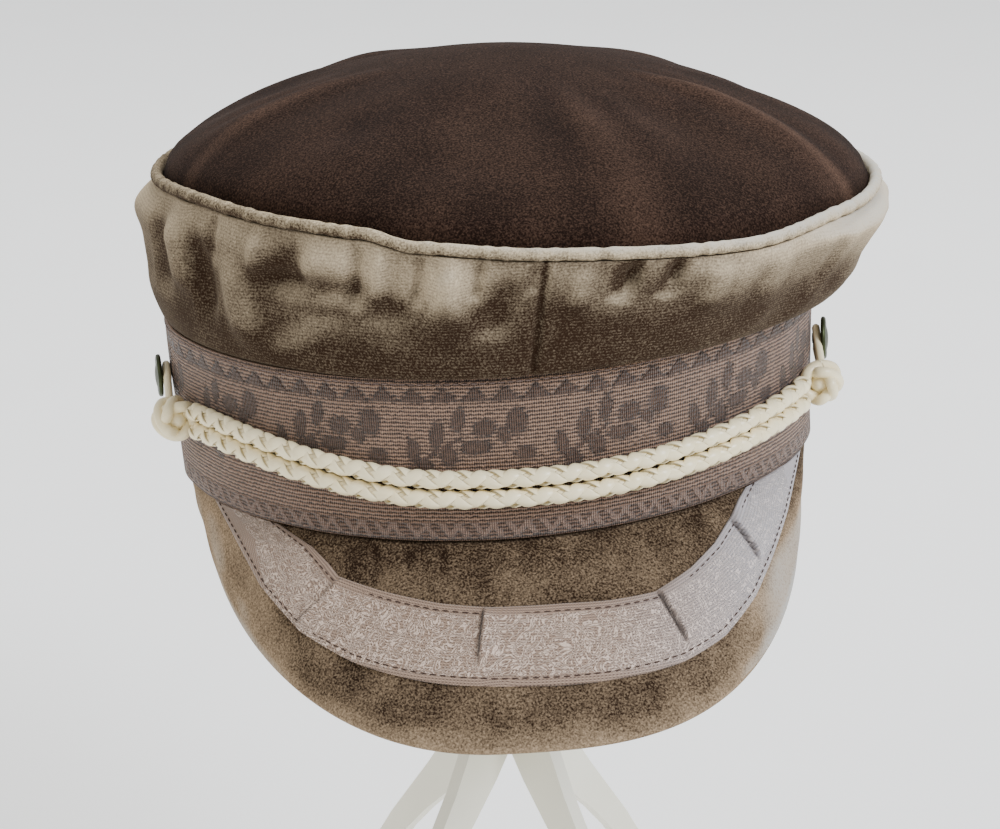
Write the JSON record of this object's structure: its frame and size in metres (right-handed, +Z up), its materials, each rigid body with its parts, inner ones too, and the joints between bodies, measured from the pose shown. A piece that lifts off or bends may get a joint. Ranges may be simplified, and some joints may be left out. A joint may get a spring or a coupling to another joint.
{
  "type": "fisherman cap on hat stand",
  "caption": "Velvet fisherman cap with a full soft crown, jacquard ribbon band, doubled braid with knots and side buttons, and a trimmed peak, on a folding plastic hat stand.",
  "frame": {"origin": "middle of the bottom of the whole object's box, on the face that the stand's feet rest on", "axes": "+Z up, -Y towards the front of the peak, +X towards the left of whoever would wear the cap"},
  "size_m": [0.218, 0.2612, 0.3306],
  "materials": {
    "crown_velvet": "cotton velvet seen along its pile, deep brown",
    "velvet": "cotton velvet, mushroom brown, with a bright sheen across the pile",
    "piping_velvet": "velvet bias strip sewn round a cord",
    "jacquard_ribbon": "woven ribbon, ribbed ground with satin floats",
    "braid": "plaited rayon, ivory, silky",
    "button_brass": "darkened, satin",
    "stand_plastic": "moulded, satin white"
  },
  "bodies": {
    "root": {"crown_top": "crown_velvet", "crown_side": "velvet", "crown_piping": "piping_velvet", "band": "velvet", "band_ribbon": "jacquard_ribbon", "peak": "velvet", "peak_ribbon": "jacquard_ribbon", "cord_upper": "braid", "cord_lower": "braid", "knot_left": "braid", "knot_right": "braid", "loop_left": "braid", "loop_right": "braid", "button_left": "button_brass", "button_right": "button_brass", "hat_stand": "stand_plastic"}
  },
  "joints": []
}
